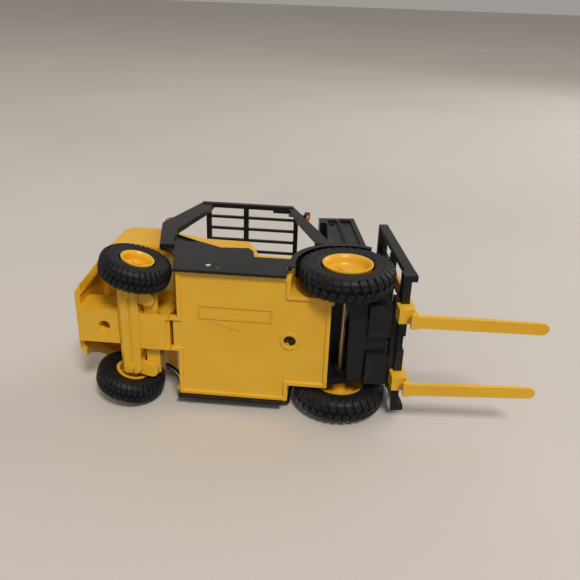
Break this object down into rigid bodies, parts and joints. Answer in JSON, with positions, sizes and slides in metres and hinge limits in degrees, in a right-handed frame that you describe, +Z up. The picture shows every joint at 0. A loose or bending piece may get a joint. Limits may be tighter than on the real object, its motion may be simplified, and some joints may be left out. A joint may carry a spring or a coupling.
{
  "type": "toy forklift",
  "caption": "Toy mast forklift with steered rear wheels, open cab frame, tilting two-stage mast, sliding carriage with load backrest and two side-sliding forks.",
  "frame": {"origin": "centre of the bounding box, at ground level under the tyres", "axes": "+X forward towards the fork tips, +Y to the truck's left, +Z up"},
  "size_m": [0.205, 0.0728, 0.1316],
  "materials": {
    "yellow_plastic": "semi-gloss moulded plastic",
    "black_plastic": "semi-gloss moulded plastic",
    "seat_plastic": "matt",
    "grey_plastic": "matt",
    "tyre_rubber": "matt rubber",
    "bright_steel": "drawn steel rod",
    "dark_steel": "blackened steel",
    "orange_lens": "glossy translucent",
    "red_lens": "glossy translucent"
  },
  "bodies": {
    "chassis": {"base_plate": "yellow_plastic", "base_screw": "dark_steel", "cab_tub": "yellow_plastic", "counterweight": "yellow_plastic", "counterweight_screw": "dark_steel", "hood": "yellow_plastic", "front_cowl": "yellow_plastic", "front_floor_panel": "black_plastic", "cab_frame_right": "black_plastic", "cab_frame_left": "black_plastic", "roof_guard": "black_plastic", "fender_right": "black_plastic", "fender_left": "black_plastic", "seat_base": "black_plastic", "seat": "seat_plastic", "dashboard": "black_plastic", "steering_column": "black_plastic", "control_levers": "black_plastic", "marker_light_housings": "black_plastic", "marker_light_lenses": "orange_lens", "tail_light_lenses": "red_lens", "front_axle_rod": "bright_steel", "axle_carrier": "yellow_plastic", "rear_axle_beam": "yellow_plastic", "kingpins": "yellow_plastic"},
    "steering_hand_wheel": {"steering_wheel": "black_plastic"},
    "right_knuckle": {"knuckle_right": "yellow_plastic"},
    "left_knuckle": {"knuckle_left": "yellow_plastic"},
    "track_rod": {"tie_rod": "yellow_plastic"},
    "front_wheel_right": {"front_tyre_right": "tyre_rubber", "front_rim_right": "yellow_plastic"},
    "front_wheel_left": {"front_tyre_left": "tyre_rubber", "front_rim_left": "yellow_plastic"},
    "rear_wheel_right": {"rear_tyre_right": "tyre_rubber", "rear_rim_right": "yellow_plastic"},
    "rear_wheel_left": {"rear_tyre_left": "tyre_rubber", "rear_rim_left": "yellow_plastic"},
    "mast_outer": {"outer_mast": "black_plastic", "lift_cylinder": "black_plastic"},
    "mast_inner": {"inner_mast": "black_plastic", "inner_mast_rollers": "grey_plastic", "lift_rod": "bright_steel"},
    "fork_carriage": {"carriage": "black_plastic", "carriage_rollers": "grey_plastic", "load_backrest": "black_plastic"},
    "right_fork": {"fork_right": "yellow_plastic"},
    "left_fork": {"fork_left": "yellow_plastic"}
  },
  "joints": [
    {"name": "front_wheel_right_spin", "type": "hinge", "parent": "chassis", "child": "front_wheel_right", "pos_m": [0.0188, -0.029, 0.021], "axis": [0, 1, 0], "continuous": true},
    {"name": "front_wheel_left_spin", "type": "hinge", "parent": "chassis", "child": "front_wheel_left", "pos_m": [0.0188, 0.029, 0.021], "axis": [0, 1, 0], "continuous": true},
    {"name": "knuckle_right_steer", "type": "hinge", "parent": "chassis", "child": "right_knuckle", "pos_m": [-0.076, -0.018, 0.012], "axis": [0, 0, 1], "range_deg": [-41, 9]},
    {"name": "knuckle_left_steer", "type": "hinge", "parent": "chassis", "child": "left_knuckle", "pos_m": [-0.076, 0.018, 0.012], "axis": [0, 0, 1], "range_deg": [-41.5, 9.5]},
    {"name": "tie_rod_slide", "type": "slide", "parent": "chassis", "child": "track_rod", "axis": [0, 1, 0], "range_m": [-0.0074, 0.0018]},
    {"name": "rear_wheel_right_spin", "type": "hinge", "parent": "right_knuckle", "child": "rear_wheel_right", "pos_m": [-0.076, -0.018, 0.0158], "axis": [0.2756, -0.9613, 0], "continuous": true},
    {"name": "rear_wheel_left_spin", "type": "hinge", "parent": "left_knuckle", "child": "rear_wheel_left", "pos_m": [-0.076, 0.018, 0.0158], "axis": [-0.2756, 0.9613, 0], "continuous": true},
    {"name": "steering_wheel_turn", "type": "hinge", "parent": "chassis", "child": "steering_hand_wheel", "pos_m": [-0.0085, 0, 0.044], "axis": [-0.7431, 0, 0.6691], "continuous": true},
    {"name": "mast_tilt", "type": "hinge", "parent": "chassis", "child": "mast_outer", "pos_m": [0.0188, 0, 0.021], "axis": [0, 1, 0], "range_deg": [0, 12]},
    {"name": "inner_mast_lift", "type": "slide", "parent": "mast_outer", "child": "mast_inner", "axis": [-0.1392, 0, 0.9903], "range_m": [0, 0.055]},
    {"name": "carriage_lift", "type": "slide", "parent": "mast_inner", "child": "fork_carriage", "axis": [-0.1392, 0, 0.9903], "range_m": [0, 0.08]},
    {"name": "fork_right_shift", "type": "slide", "parent": "fork_carriage", "child": "right_fork", "axis": [0, 1, 0], "range_m": [-0.0085, 0.009]},
    {"name": "fork_left_shift", "type": "slide", "parent": "fork_carriage", "child": "left_fork", "axis": [0, 1, 0], "range_m": [-0.009, 0.0105]}
  ],
  "couplings": [
    {"joint": "knuckle_left_steer", "follows": "knuckle_right_steer", "ratio": 1},
    {"joint": "tie_rod_slide", "follows": "knuckle_right_steer", "m_per_rad": 0.0098}
  ]
}
